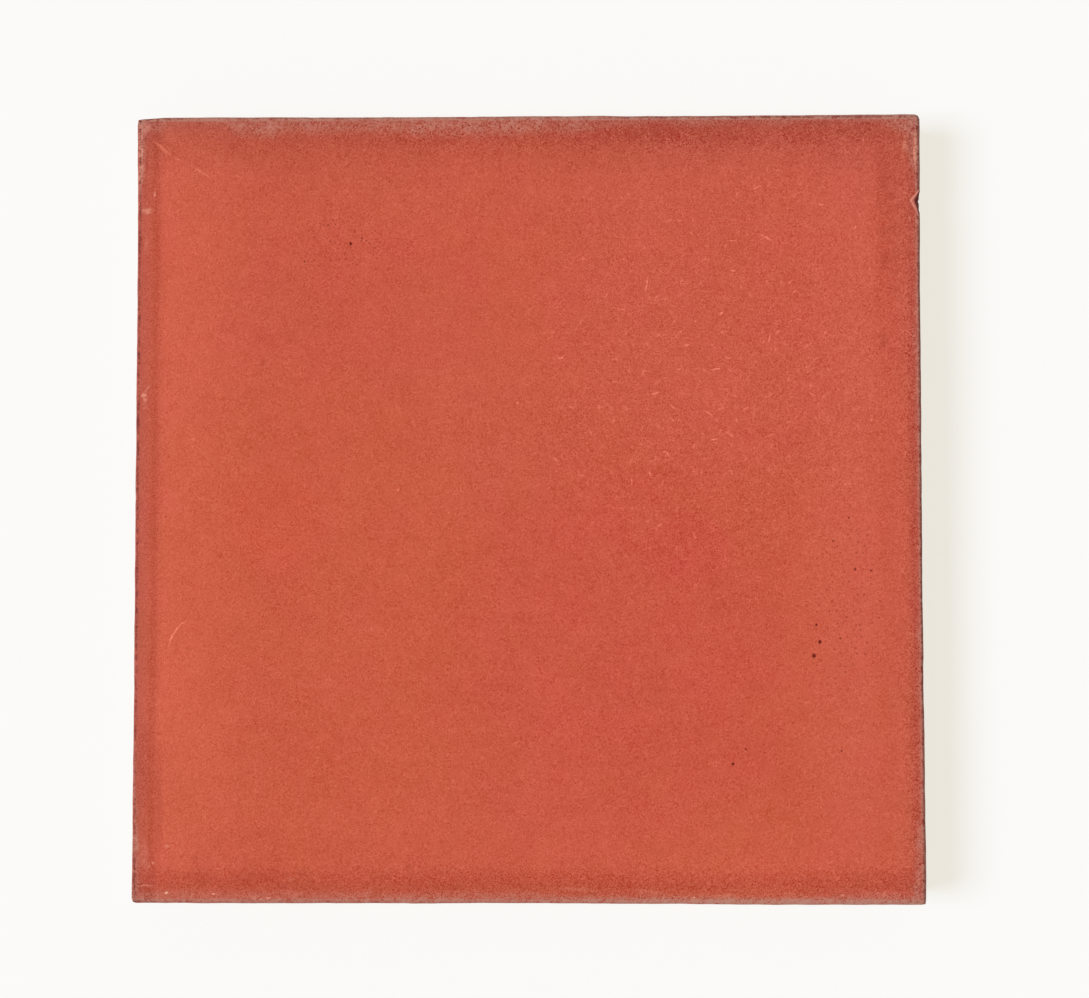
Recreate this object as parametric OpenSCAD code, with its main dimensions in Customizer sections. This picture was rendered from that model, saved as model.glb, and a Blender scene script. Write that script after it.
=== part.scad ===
// Plain cement floor tile, pressed in one piece, lying with its coloured face up.
// Millimetres and degrees. The origin is the middle of the back, which is the side that is laid in mortar.
// +Z points up out of the face, +X to the tile's right and +Y to its rear edge.

/* [Tile] */
// Length of each side of the square face
side = 200; // [150:1:300]
// Thickness from the back to the face
thickness = 16; // [12:0.5:20]
// Lean of the four sides, which draw in towards the back so that laid tiles meet at their faces
side_draft = 1; // [0.5:0.25:1.5]

/* [Edges] */
// Radius of the worn edge between the face and the sides
face_edge_r = 0.8; // [0.4:0.1:1.5]
// Radius of the edge between the sides and the back
back_edge_r = 0.6; // [0.4:0.1:1.5]

/* [Upright corners] */
// Radius of the rear right corner, the most worn of the four
rear_right_r = 1.4; // [0.6:0.1:6]
// Radius of the rear left corner
rear_left_r = 0.6; // [0.6:0.1:6]
// Radius of the front left corner
front_left_r = 1; // [0.6:0.1:6]
// Radius of the front right corner
front_right_r = 0.6; // [0.6:0.1:6]

/* [Key on the back] */
// Rows of shallow pockets in the back, and pockets in each row, which grip the mortar bed
key_rows = 8; // [4:1:9]
// Width of the ribs between the pockets, at the back's surface
key_rib = 6; // [4:0.5:8]
// Width of the flat border round the pockets
key_border = 15; // [10:0.5:20]
// Depth of the pockets
key_depth = 1; // [0.5:0.25:1.5]
// Lean of the pockets' walls from upright, by which the press plate lets go of the mortar
key_wall_lean = 35; // [20:5:45]

/* [Chip in the right edge] */
// Distance of the chip's deepest point from the rear edge
chip_from_rear = 21.4; // [15:0.1:130]
// How far the chip bites into the face from its outline
chip_bite = 2.6; // [0.5:0.1:3]
// How far the chip runs down the side
chip_drop = 3; // [1.5:0.1:5]
// Length of the chip's steep flank, on the rear side of its deepest point
chip_short_flank = 2.7; // [0.5:0.1:4]
// Length of the chip's slow flank, on the front side of its deepest point
chip_long_flank = 4.5; // [1:0.1:6]

/* [Hidden] */
$fn = 64;

// How far a cutter passes the surface that it cuts
clear = 1;

// Centre of the round on the face's edge, in a section across the tile
face_edge_x = side / 2 - face_edge_r;
face_edge_z = thickness - face_edge_r;

// Where the leaning side meets that round
side_top_x = face_edge_x + face_edge_r * cos(side_draft);
side_top_z = face_edge_z - face_edge_r * sin(side_draft);

// Centre of the round on the back's edge, set in from the leaning side by its own radius
back_edge_z = back_edge_r;
back_edge_x = side_top_x - (back_edge_r + (side_top_z - back_edge_z) * sin(side_draft)) / cos(side_draft);

// Where the leaning side meets that round
side_foot_x = back_edge_x + back_edge_r * cos(side_draft);
side_foot_z = back_edge_z - back_edge_r * sin(side_draft);

// Corner radii in turn from the rear right, anticlockwise as seen from above
corner_radii = [rear_right_r, rear_left_r, front_left_r, front_right_r];

// Mouth of one pocket, the step from one pocket to the next, and the middle of the first row
key_mouth = (side - 2 * key_border - (key_rows - 1) * key_rib) / key_rows;
key_pitch = key_mouth + key_rib;
key_first = key_border + key_mouth / 2 - side / 2;

// Lean of the chip's root, which runs from the bite in the face to the foot of the chip, and its length
chip_lean = atan(chip_bite / chip_drop);
chip_root = chip_drop / cos(chip_lean);

// Section across the tile: straight lines between the points where the four rounds begin and end
module tile_section() {
    polygon([
        [-back_edge_x, 0],
        [back_edge_x, 0],
        [side_foot_x, side_foot_z],
        [side_top_x, side_top_z],
        [face_edge_x, thickness],
        [-face_edge_x, thickness],
        [-side_top_x, side_top_z],
        [-side_foot_x, side_foot_z],
    ]);
    for (way = [-1, 1]) {
        translate([way * face_edge_x, face_edge_z]) circle(face_edge_r);
        translate([way * back_edge_x, back_edge_z]) circle(back_edge_r);
    }
}

// A long bar of the section, with its length along Y
module section_bar() {
    rotate([90, 0, 0])
        linear_extrude(side + 2 * clear, center = true)
            tile_section();
}

// The slab that two crossed bars have in common, with square corners
module square_slab() {
    intersection() {
        section_bar();
        rotate(90) section_bar();
    }
}

// The place of one upright corner's axis, for a corner of radius r at the rear right
module at_corner(r) {
    translate([side / 2 - r, side / 2 - r, 0]) children();
}

// A quarter turn of the same section about a corner's axis
module corner_post(r) {
    at_corner(r)
        rotate_extrude(angle = 90)
            intersection() {
                translate([r - side / 2, 0]) tile_section();
                square([r + clear, thickness]);
            }
}

// What a corner post takes the place of
module corner_cut(r) {
    at_corner(r)
        translate([0, 0, -clear])
            cube([r + clear, r + clear, thickness + 2 * clear]);
}

// The slab with its four upright corners rounded, each to its own radius
module rounded_slab() {
    difference() {
        square_slab();
        for (i = [0 : 3]) rotate(90 * i) corner_cut(corner_radii[i]);
    }
    for (i = [0 : 3]) rotate(90 * i) corner_post(corner_radii[i]);
}

// Straight grooves right across the back, with leaning walls and their length along Y
module key_grooves() {
    mouth_half = key_mouth / 2;
    spread = tan(key_wall_lean);
    for (i = [0 : key_rows - 1])
        translate([key_first + i * key_pitch, 0, 0])
            rotate([90, 0, 0])
                linear_extrude(side, center = true)
                    polygon([
                        [-mouth_half - clear * spread, -clear],
                        [mouth_half + clear * spread, -clear],
                        [mouth_half - key_depth * spread, key_depth],
                        [-mouth_half + key_depth * spread, key_depth],
                    ]);
}

// The pockets, where grooves along Y cross grooves along X
module key_pockets() {
    intersection() {
        key_grooves();
        rotate(90) key_grooves();
    }
}

// A three-cornered bite out of the right edge, whose root slopes out to the side
module edge_chip() {
    chip_width = chip_bite * cos(chip_lean);
    translate([side / 2, side / 2 - chip_from_rear, thickness])
        rotate([0, -chip_lean, 0])
            linear_extrude(2 * (chip_root + clear), center = true)
                polygon([
                    [-chip_width, 0],
                    [chip_width, -2 * chip_long_flank],
                    [chip_width, 2 * chip_short_flank],
                ]);
}

module cement_tile() {
    color("#c95b45")
        difference() {
            rounded_slab();
            key_pockets();
            edge_chip();
        }
}

cement_tile();
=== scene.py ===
"""A plain red cement floor tile, pressed in one piece, lying face up on a pale studio floor.

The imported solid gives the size. One closed surface stands for it: the face is a grid of lines that gather at
the pits, the edges and sides are the tile's section carried round its outline, and the back is a grid with
the key. Lengths are in millimetres until the surface is put into Blender, and the finish is in millimetres.
"""
from math import pi, radians, tan

import bpy
import numpy as np
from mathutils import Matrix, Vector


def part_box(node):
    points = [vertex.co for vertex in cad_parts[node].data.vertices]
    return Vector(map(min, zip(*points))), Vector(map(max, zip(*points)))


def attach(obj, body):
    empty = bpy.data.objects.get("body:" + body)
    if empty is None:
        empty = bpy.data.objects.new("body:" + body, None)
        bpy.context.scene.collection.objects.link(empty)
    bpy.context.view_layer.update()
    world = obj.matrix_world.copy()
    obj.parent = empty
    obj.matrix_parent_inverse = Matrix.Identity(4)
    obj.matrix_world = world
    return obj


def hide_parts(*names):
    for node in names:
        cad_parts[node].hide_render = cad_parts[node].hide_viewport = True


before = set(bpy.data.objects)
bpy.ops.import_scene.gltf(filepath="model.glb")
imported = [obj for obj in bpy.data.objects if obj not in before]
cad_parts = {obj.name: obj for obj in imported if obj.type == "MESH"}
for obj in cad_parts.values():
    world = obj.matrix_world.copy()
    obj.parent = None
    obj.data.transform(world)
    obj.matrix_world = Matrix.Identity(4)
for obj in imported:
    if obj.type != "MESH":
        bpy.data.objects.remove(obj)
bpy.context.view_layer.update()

MM = 0.001
BODY = "root"
NODE = "cement_tile"
PIECE = "pressed_tile"

# Sizes of the tile, with its middle at 0 in X and Y and its back at 0 in Z
node_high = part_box(NODE)[1]
HALF = node_high[0] / MM
THICK = node_high[2] / MM
SIDE_LEAN = radians(1)
FACE_EDGE_R = 0.8
BACK_EDGE_R = 0.6

# Radii of the upright corners at the start and the end of each side: front, right, rear, left
FRONT_LEFT_R, FRONT_RIGHT_R, REAR_RIGHT_R, REAR_LEFT_R = 1.0, 0.6, 1.4, 0.6
CORNER_START = np.array([FRONT_LEFT_R, FRONT_RIGHT_R, REAR_RIGHT_R, REAR_LEFT_R])[:, None]
CORNER_END = np.roll(CORNER_START, -1, axis=0)

# The four sides, going anticlockwise as seen from above, and the outward and onward direction of each
FRONT, RIGHT, REAR, LEFT = range(4)
OUTWARD = np.array([(0, -1), (1, 0), (0, 1), (-1, 0)])
ONWARD = np.array([(1, 0), (0, 1), (-1, 0), (0, -1)])

# The key in the back: rows of shallow pockets inside a flat border
KEY_ROWS = 8
KEY_RIB = 6
KEY_BORDER = 15
KEY_DEPTH = 1
KEY_WALL = KEY_DEPTH * tan(radians(35))
KEY_MOUTH = (2 * HALF - 2 * KEY_BORDER - (KEY_ROWS - 1) * KEY_RIB) / KEY_ROWS
KEY_MIDDLES = KEY_BORDER + KEY_MOUTH / 2 - HALF + (KEY_MOUTH + KEY_RIB) * np.arange(KEY_ROWS)

# How far the face has fallen at its edges and in its middle, and how wide the fall at the edges is
FACE_FALL = 0.12
MIDDLE_FALL = 0.05
FALL_WIDE = 3.0

# How far the rear edge falls away at the left corner, and over what length
REAR_FALL = 0.38
REAR_FALL_LONG = 8

# Width of the rim round the face and round the back that is carried along the outline
RIM = 6

# The chip in the right edge: its middle, its bite into the face, its drop down the side and its two flanks
CHIP_Y = HALF - 22.0
CHIP_BITE = 2.8
CHIP_DROP = 2.5
CHIP_TO_REAR = 3.2
CHIP_TO_FRONT = 5.1

# The chip's section is a flat lip and then a steep root: where each starts, in from the outline and down
# from the face as shares of the bite, and how steeply each falls
CHIP_LIP = (1.0, 0.0, 0.15)
CHIP_ROOT = (0.56, 0.075, 1.5)

# Where the outline stands out a little: the side, the places along it where this starts and where it is
# full, and by how much. It stands back where that is below 0
OUTLINE_SWELLS = (
    (RIGHT, 52, 88, 0.30), (RIGHT, 5, -20, -0.13), (RIGHT, -45, -60, 0.12), (RIGHT, -60, -92, 0.10),
    (LEFT, 78, 92, 0.21), (LEFT, -55, -75, 0.11), (REAR, -8, 12, 0.12), (REAR, 68, 88, 0.20),
    (FRONT, -101, -100, 0.09), (FRONT, -15, -5, 0.06), (FRONT, 38, 58, 0.20),
)

# How far the outline stands out at the chip
CHIP_OUT = 0.24

# Air pits that opened in the face: place across and along the face, radius
PITS = (
    (72.4, -37.9, 0.55), (73.9, -34.4, 0.50), (51.8, -65.1, 0.42), (-45.2, 67.2, 0.42), (73.0, -30.1, 0.35),
    (78.9, -33.5, 0.28), (-57.1, 62.6, 0.28), (-51.1, 72.0, 0.24), (-42.4, 68.6, 0.26), (54.9, -61.4, 0.28),
    (79.0, -61.8, 0.28), (82.9, -16.0, 0.34), (86.8, -16.4, 0.30), (77.3, -8.9, 0.28), (81.3, -3.0, 0.28),
)

# Pits over this radius draw the face's grid lines together
BIG_PIT = 0.3

# The least height of any point of the surface over the floor
FLOOR_GAP = 0.01


def s_curve(share):
    """Rises from 0 to 1 as the share does, level at both ends: 3 share squared minus 2 share cubed."""
    share = np.clip(share, 0, 1)
    return share * share * (3 - 2 * share)


def lattice_noise(points, size, seed):
    """Smooth noise from -1 to 1 at points (..., 3).

    Random values stand on a cubic lattice with steps of the given size. A point takes the mean of the eight
    corners of its cell, each weighted by the product of an s-curve of the point's share along X, Y and Z."""
    values = np.random.default_rng(seed).uniform(-1, 1, (64, 64, 64))
    place = np.asarray(points) / size
    cell = np.floor(place).astype(int)
    share = s_curve(place - cell)
    total = np.zeros(place.shape[:-1])
    for corner in np.ndindex(2, 2, 2):
        weight = np.where(corner, share, 1 - share).prod(-1)
        i, j, k = np.moveaxis((cell + corner) % 64, -1, 0)
        total += weight * values[i, j, k]
    return total


def rolling(points, *layers):
    """The sum of several noises at points, each with its own height, size and seed."""
    return sum(height * lattice_noise(points, size, seed) for height, size, seed in layers)


def graded(count, half, spots):
    """Places of `count` grid lines from -half to half that gather at spots (middle, reach, pull).

    Each spot adds a bell of its pull to a line density of 1, and the lines stand at equal steps of the
    running sum of that density."""
    fine = np.linspace(-half, half, 20001)
    density = np.ones_like(fine)
    for middle, reach, pull in spots:
        density += pull * np.exp(-(((fine - middle) / reach) ** 2))
    running = np.concatenate([[0], np.cumsum((density[1:] + density[:-1]) / 2)])
    return np.interp(np.linspace(0, running[-1], count), running, fine)


def back_lines():
    """Places of the back's grid lines: each pocket's mouth, its walls' feet, its floor, and the ribs."""
    floor_half = KEY_MOUTH / 2 - KEY_WALL
    pocket = np.concatenate([[-KEY_MOUTH / 2], np.linspace(-floor_half, floor_half, 8), [KEY_MOUTH / 2]])
    rib = np.linspace(0, KEY_RIB, 5)[1:-1] + KEY_MOUTH / 2
    pockets = (KEY_MIDDLES[:, None] + pocket).ravel()
    ribs = (KEY_MIDDLES[:-1, None] + rib).ravel()
    border = np.linspace(HALF - RIM, HALF - KEY_BORDER, 6)[:-1]
    return np.sort(np.concatenate([-border, pockets, ribs, border]))


def key_depth(x, y):
    """Depth of the key at a place on the back.

    Across each row a share rises from 0 at the mouth to 1 at the foot of the leaning wall, and the depth is
    the lesser of the shares across X and across Y, times the full depth."""
    def share(place):
        off = np.abs(np.asarray(place)[..., None] - KEY_MIDDLES).min(-1)
        return np.clip((KEY_MOUTH / 2 - off) / KEY_WALL, 0, 1)
    return KEY_DEPTH * np.minimum(share(x), share(y))


def section_rows():
    """The tile's section from the rim of the face, over the edge and down the side to the rim of the back.

    Returns how far in from the outline each row lies, its height, and which rows are in the middle of the
    face's edge and of the back's edge. The edges are arcs, and the side is the line between them."""
    turn = np.linspace(0, pi / 2 + SIDE_LEAN, 9)
    edge_in = FACE_EDGE_R * (1 - np.sin(turn))
    edge_z = THICK - FACE_EDGE_R * (1 - np.cos(turn))
    foot_z = BACK_EDGE_R * (1 - np.sin(SIDE_LEAN))
    foot_in = edge_in[-1] + (edge_z[-1] - foot_z) * tan(SIDE_LEAN)
    under = np.linspace(pi / 2 + SIDE_LEAN, pi, 5)
    middle_in = foot_in + BACK_EDGE_R * np.cos(SIDE_LEAN)
    under_in = middle_in - BACK_EDGE_R * np.sin(under)
    under_z = BACK_EDGE_R * (1 + np.cos(under))
    face_in = FACE_EDGE_R + (RIM - FACE_EDGE_R) * np.linspace(1, 0, 12)[:-1] ** 1.3
    side_share = np.linspace(0, 1, 13)[1:-1]
    side_in = edge_in[-1] + (foot_in - edge_in[-1]) * side_share
    side_z = edge_z[-1] + (foot_z - edge_z[-1]) * side_share
    back_in = np.array([2.4, 4.0])
    inset = np.concatenate([face_in, edge_in, side_in, under_in, back_in])
    height = np.concatenate([np.full(len(face_in), THICK), edge_z, side_z, under_z, np.zeros(len(back_in))])
    over = len(face_in) + 4
    below = len(face_in) + len(edge_in) + len(side_in) + 2
    return inset, height, over, below


def turns(inset, along):
    """Places across and along the tile on turns round it, each a given distance in from the outline.

    A share of -1 to 1 runs along each side. On the straight it is that share of the half side. At each end
    it turns through an eighth of the corner's circle, whose radius is less by the distance in."""
    reach = HALF - inset[:, None, None]
    radius = np.maximum(np.where(along < 0, CORNER_START, CORNER_END) - inset[:, None, None], 0)
    run = np.abs(along) * reach
    straight = np.minimum(run, reach - radius)
    turn = pi / 4 * (run - straight) / np.maximum(radius, 1e-9)
    out = reach - radius * (1 - np.cos(turn))
    on = np.sign(along) * (straight + radius * np.sin(turn))
    return out[..., None] * OUTWARD[:, None] + on[..., None] * ONWARD[:, None]


def border_of(count, first):
    """Numbers of a square grid's border points, anticlockwise side by side, each side with both corners."""
    grid = first + np.arange(count * count).reshape(count, count)
    return np.stack([grid[0], grid[:, -1], grid[-1, ::-1], grid[::-1, 0]])


def grid_faces(count, first):
    """Numbers of the four corners of each cell of a square grid, anticlockwise as seen from above."""
    grid = first + np.arange(count * count).reshape(count, count)
    return np.stack([grid[:-1, :-1], grid[:-1, 1:], grid[1:, 1:], grid[1:, :-1]], -1).reshape(-1, 4)


def point_normals(points, quads, triangles):
    """Unit normals of the points: the sum of the area normals of the faces that meet at each."""
    total = np.zeros_like(points)
    for faces in (quads, triangles):
        last = faces.shape[1] - 1
        across = points[faces[:, last - 1]] - points[faces[:, 0]]
        area = np.cross(across, points[faces[:, last]] - points[faces[:, 1 if last == 3 else 0]])
        for corner in faces.T:
            for axis in range(3):
                total[:, axis] += np.bincount(corner, area[:, axis], len(points))
    return total / np.linalg.norm(total, axis=1, keepdims=True)


# Where the islands of the bake map lie, as shares of its width: the face, four side strips over it, the back
MAP_GAP = 0.008
MAP_SCALE = 0.7 / (2 * HALF)
STRIP_FIRST = 0.722
STRIP_STEP = 0.0695
BACK_SHARE = 0.27


def face_map(places):
    """The face lies in the lower left of the map, seen from above."""
    return MAP_GAP + (places + HALF) * MAP_SCALE


def side_map(along, drop):
    """The four sides are strips above the face, one over the other, rolled out down the side."""
    strip = np.arange(4)[None, :, None]
    across = MAP_GAP + (along + 1) * HALF * MAP_SCALE
    up = STRIP_FIRST + strip * STRIP_STEP + drop * MAP_SCALE
    return np.stack(np.broadcast_arrays(across, up), -1)


def back_map(places):
    """The back lies small in the lower right of the map, seen from above."""
    return np.array([1 - MAP_GAP - BACK_SHARE, MAP_GAP]) + (places + HALF) * BACK_SHARE / (2 * HALF)


def face_lines(count):
    """Places of the face's grid lines across and along it, gathered at its ends, the chip and large pits."""
    ends = [(-HALF, 2.5, 2.5), (HALF, 2.5, 2.5)]
    chip = [(CHIP_Y - 0.8, 4.0, 4.0)]
    big_pits = [pit for pit in PITS if pit[2] > BIG_PIT]
    xs = graded(count, HALF - RIM, ends + [(x, 1.0, 4.0) for x, y, r in big_pits])
    ys = graded(count, HALF - RIM, ends + chip + [(y, 1.0, 4.0) for x, y, r in big_pits])
    return xs, ys


def band_cells(table):
    """The four corners of each cell of the band, from a table of rows, sides and steps."""
    corners = [table[:-1, :, :-1], table[1:, :, :-1], table[1:, :, 1:], table[:-1, :, 1:]]
    return np.stack(corners, 3)


def strip_cells(ring_out, ring_in):
    """Three triangles for each step of the back's border: one before, one behind and one between."""
    first, middle, last = ring_out[:, :-1:2], ring_out[:, 1::2], ring_out[:, 2::2]
    left, right = ring_in[:, :-1], ring_in[:, 1:]
    triangles = [
        np.stack([middle, first, left], 2), np.stack([middle, left, right], 2),
        np.stack([middle, right, last], 2),
    ]
    return np.stack(triangles, 2)


def tile_surface():
    """The whole tile as points, faces and the faces' places on the bake map, before any wear.

    The face is a grid, the rows of the section go round it, and the back is a grid of half as many lines,
    joined by a strip that takes two steps of the last row to each of its own. Along the sides the rows'
    points slide from the face's lines to the back's."""
    back = back_lines()
    coarse, fine = len(back), 2 * len(back) - 1
    xs, ys = face_lines(fine)
    inset, height, over, below = section_rows()
    rows = len(inset)
    face_along = np.stack([xs, ys, -xs[::-1], -ys[::-1]]) / (HALF - RIM)
    halves = np.interp(np.arange(fine) / 2, np.arange(coarse), back) / (HALF - RIM)
    slide = s_curve((np.arange(rows) - over) / (below - over))[:, None, None]
    along = (1 - slide) * face_along + slide * halves
    band = turns(inset, along)

    face_points = np.stack(np.broadcast_arrays(xs[None, :], ys[:, None], THICK), -1).reshape(-1, 3)
    around = 4 * (fine - 1)
    step = (np.arange(4)[:, None] * (fine - 1) + np.arange(fine)) % around
    numbers = len(face_points) + np.arange(rows - 1)[:, None, None] * around + step
    numbers = np.concatenate([border_of(fine, 0)[None], numbers])
    band_height = np.broadcast_to(height[:, None, None, None], band.shape[:-1] + (1,))
    band_points = np.concatenate([band, band_height], -1)[1:, :, :-1].reshape(-1, 3)
    back_first = len(face_points) + len(band_points)
    bx, by = np.meshgrid(back, back)
    back_points = np.stack([bx, by, key_depth(bx, by)], -1).reshape(-1, 3)
    points = np.concatenate([face_points, band_points, back_points])

    band_faces = band_cells(numbers)
    face_faces = grid_faces(fine, 0)
    back_faces = grid_faces(coarse, back_first)[:, ::-1]
    drop = np.concatenate([[0], np.cumsum(np.hypot(np.diff(inset), np.diff(height)))])
    drop = (drop - drop[over])[:, None, None]
    top, side, under = slice(None, over), slice(over, below), slice(below, None)
    band_map = np.concatenate([
        band_cells(face_map(band))[top], band_cells(side_map(along, drop))[side],
        band_cells(back_map(band))[under],
    ])
    inner = border_of(coarse, back_first)
    inner_map = back_map(points[inner, :2])
    outer, outer_map = numbers[-1], back_map(band[-1])

    triangles = strip_cells(outer, inner).reshape(-1, 3)
    quads = np.concatenate([face_faces, band_faces.reshape(-1, 4), back_faces])
    map_places = np.concatenate([
        face_map(points[face_faces, :2]).reshape(-1, 2), band_map.reshape(-1, 2),
        back_map(points[back_faces, :2]).reshape(-1, 2), strip_cells(outer_map, inner_map).reshape(-1, 2),
    ])
    return points, quads, triangles, map_places


def cut_edge(points, outward, depth):
    """Moves that set the points beyond a sloping plane across the face's edge back onto it.

    The plane leans by 45 degrees, and depth is its distance from the sharp edge that the face and the side
    would have. A point beyond the plane moves back by its distance from it."""
    reach = (points[:, :2] * outward).sum(-1) - HALF
    beyond = (reach + points[:, 2] - THICK) / np.sqrt(2) + depth
    back = np.maximum(beyond, 0)[:, None] / np.sqrt(2)
    return np.concatenate([-back * outward, -back], 1)


def wave_outline(worn, points, on_rim):
    """The outline wanders by sums of noise, and the rear edge falls off by an s-curve at the left corner."""
    flat = points * (1, 1, 0)
    for axis in (0, 1):
        wander = rolling(flat, (0.10, 38, 11 + axis), (0.05, 9, 13 + axis), (0.06, 2.4, 15 + axis))
        past_rim = np.abs(points[:, axis]) > HALF - RIM
        worn[:, axis] += on_rim * (wander - 0.03 * np.sign(points[:, axis]) * past_rim)
    x, y = points[:, 0], points[:, 1]
    worn[:, 1] -= np.where(y > 0, on_rim, 0) * REAR_FALL * s_curve(1 - (x + HALF) / REAR_FALL_LONG)


def settle_face(worn, points, facing_up, out_by):
    """The face swells faintly by sums of noise. It falls a little all over, and by a bell at its outline."""
    flat = points * (1, 1, 0)
    swell = rolling(flat, (0.05, 46, 21), (0.02, 13, 22), (0.008, 3.1, 23))
    fall = (FACE_FALL - MIDDLE_FALL) * np.exp(-((out_by / FALL_WIDE) ** 2))
    worn[:, 2] += facing_up * (swell - fall - MIDDLE_FALL)


def nick_edges(worn, points):
    """Nicks along the face's edge: each side is set back onto its own sloping plane, whose depth is noise.

    The depth rolls about a plain one, with small nicks and fewer large ones where a noise passes a bound."""
    for outward in OUTWARD:
        nick = 0.22 + rolling(points, (0.10, 7.0, 31))
        nick += 0.42 * np.clip(lattice_noise(points, 1.9, 32) - 0.28, 0, 1)
        nick += 0.55 * np.clip(lattice_noise(points, 4.3, 33) - 0.55, 0, 1)
        worn += cut_edge(worn, outward, nick)


def break_chip(worn, points):
    """Within the chip's flanks, points past its lip and its root are set back onto those sloping planes.

    The bite falls straight from the chip's middle to nothing at the end of each flank."""
    x, y = points.T[:2]
    off = y - CHIP_Y
    flank = np.where(off > 0, CHIP_TO_REAR, CHIP_TO_FRONT)
    bite = CHIP_BITE * np.clip(1 - np.abs(off) / flank, 0, 1) * (1 + rolling(points, (0.07, 0.9, 34)))
    hit = (bite > 0.02) & (x > HALF - RIM / 2)
    for start_in, start_down, fall in (CHIP_LIP, CHIP_ROOT):
        slope = np.array([fall, 0, 1]) / np.hypot(fall, 1)
        down = worn[:, 2] - THICK + FACE_FALL + start_down * bite
        past = (worn[:, 0] - HALF + start_in * bite) * slope[0] + down * slope[2]
        worn -= np.where(hit, np.maximum(past, 0), 0)[:, None] * slope


def swell_outline(worn, points):
    """The outline stands out in places, by an s-curve along the side and by another one in from it."""
    for side, start, full, amount in OUTLINE_SWELLS:
        to_side = HALF - (points[:, :2] * OUTWARD[side]).sum(-1)
        along = (points[:, :2] * np.abs(ONWARD[side])).sum(-1)
        out = amount * s_curve((along - start) / (full - start)) * s_curve(1 - to_side / RIM)
        worn[:, :2] += out[:, None] * OUTWARD[side]


def sink_pits(worn, points, facing_up):
    """Round pits with steep walls and a dished floor: an s-curve of the distance from each pit's middle."""
    for pit_x, pit_y, radius in PITS:
        away = np.hypot(points[:, 0] - pit_x, points[:, 1] - pit_y) / radius
        worn[:, 2] -= facing_up * 0.9 * radius * s_curve(1.25 - away)


def roughen_mortar(worn, points, normals):
    """The mortar of the sides and the back moves in and out along its normals by sandy noise.

    The sides have small voids where a noise passes a bound. The face layer above the mortar stays smooth."""
    bare = s_curve((THICK - 2.5 - points[:, 2]) / 2.5)
    sand = rolling(points, (0.09, 1.7, 41), (0.05, 0.9, 42)) - 0.08
    voids = -0.55 * s_curve((lattice_noise(points, 2.3, 43) - 0.52) / 0.25)
    rough_back = rolling(points, (0.10, 5.0, 44), (0.07, 1.9, 45))
    is_back = s_curve(-normals[:, 2] * 2 - 0.5)
    inward = bare * (sand + voids * (1 - is_back)) + is_back * (np.minimum(rough_back, 0) - 0.02)
    worn += normals * inward[:, None]


def wear_surface(points, quads, triangles):
    """The tile's surface with its waves, worn edges, chip, pits and rough mortar, one after the other."""
    worn = points.copy()
    out_by = HALF - np.maximum(np.abs(points[:, 0]), np.abs(points[:, 1]))
    normals = point_normals(points, quads, triangles)
    facing_up = np.clip(normals[:, 2], 0, 1)
    wave_outline(worn, points, s_curve(1 - out_by / RIM))
    settle_face(worn, points, facing_up, out_by)
    nick_edges(worn, points)
    break_chip(worn, points)
    swell_outline(worn, points)
    sink_pits(worn, points, facing_up)
    roughen_mortar(worn, points, normals)
    worn[:, 2] = np.maximum(worn[:, 2], FLOOR_GAP)
    return worn


def build_tile():
    """Puts the worn surface into Blender as one closed mesh with its bake map."""
    points, quads, triangles, map_places = tile_surface()
    worn = wear_surface(points, quads, triangles) * MM
    mesh = bpy.data.meshes.new(PIECE)
    mesh.from_pydata(worn.tolist(), [], quads.tolist() + triangles.tolist())
    bake_map = mesh.uv_layers.new(name="OFBake")
    bake_map.data.foreach_set("uv", map_places.ravel())
    mesh.polygons.foreach_set("use_smooth", np.ones(len(mesh.polygons), bool))
    mesh.set_sharp_from_angle(angle=radians(38))
    mesh.validate()
    piece = bpy.data.objects.new(PIECE, mesh)
    bpy.context.scene.collection.objects.link(piece)
    return piece


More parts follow.
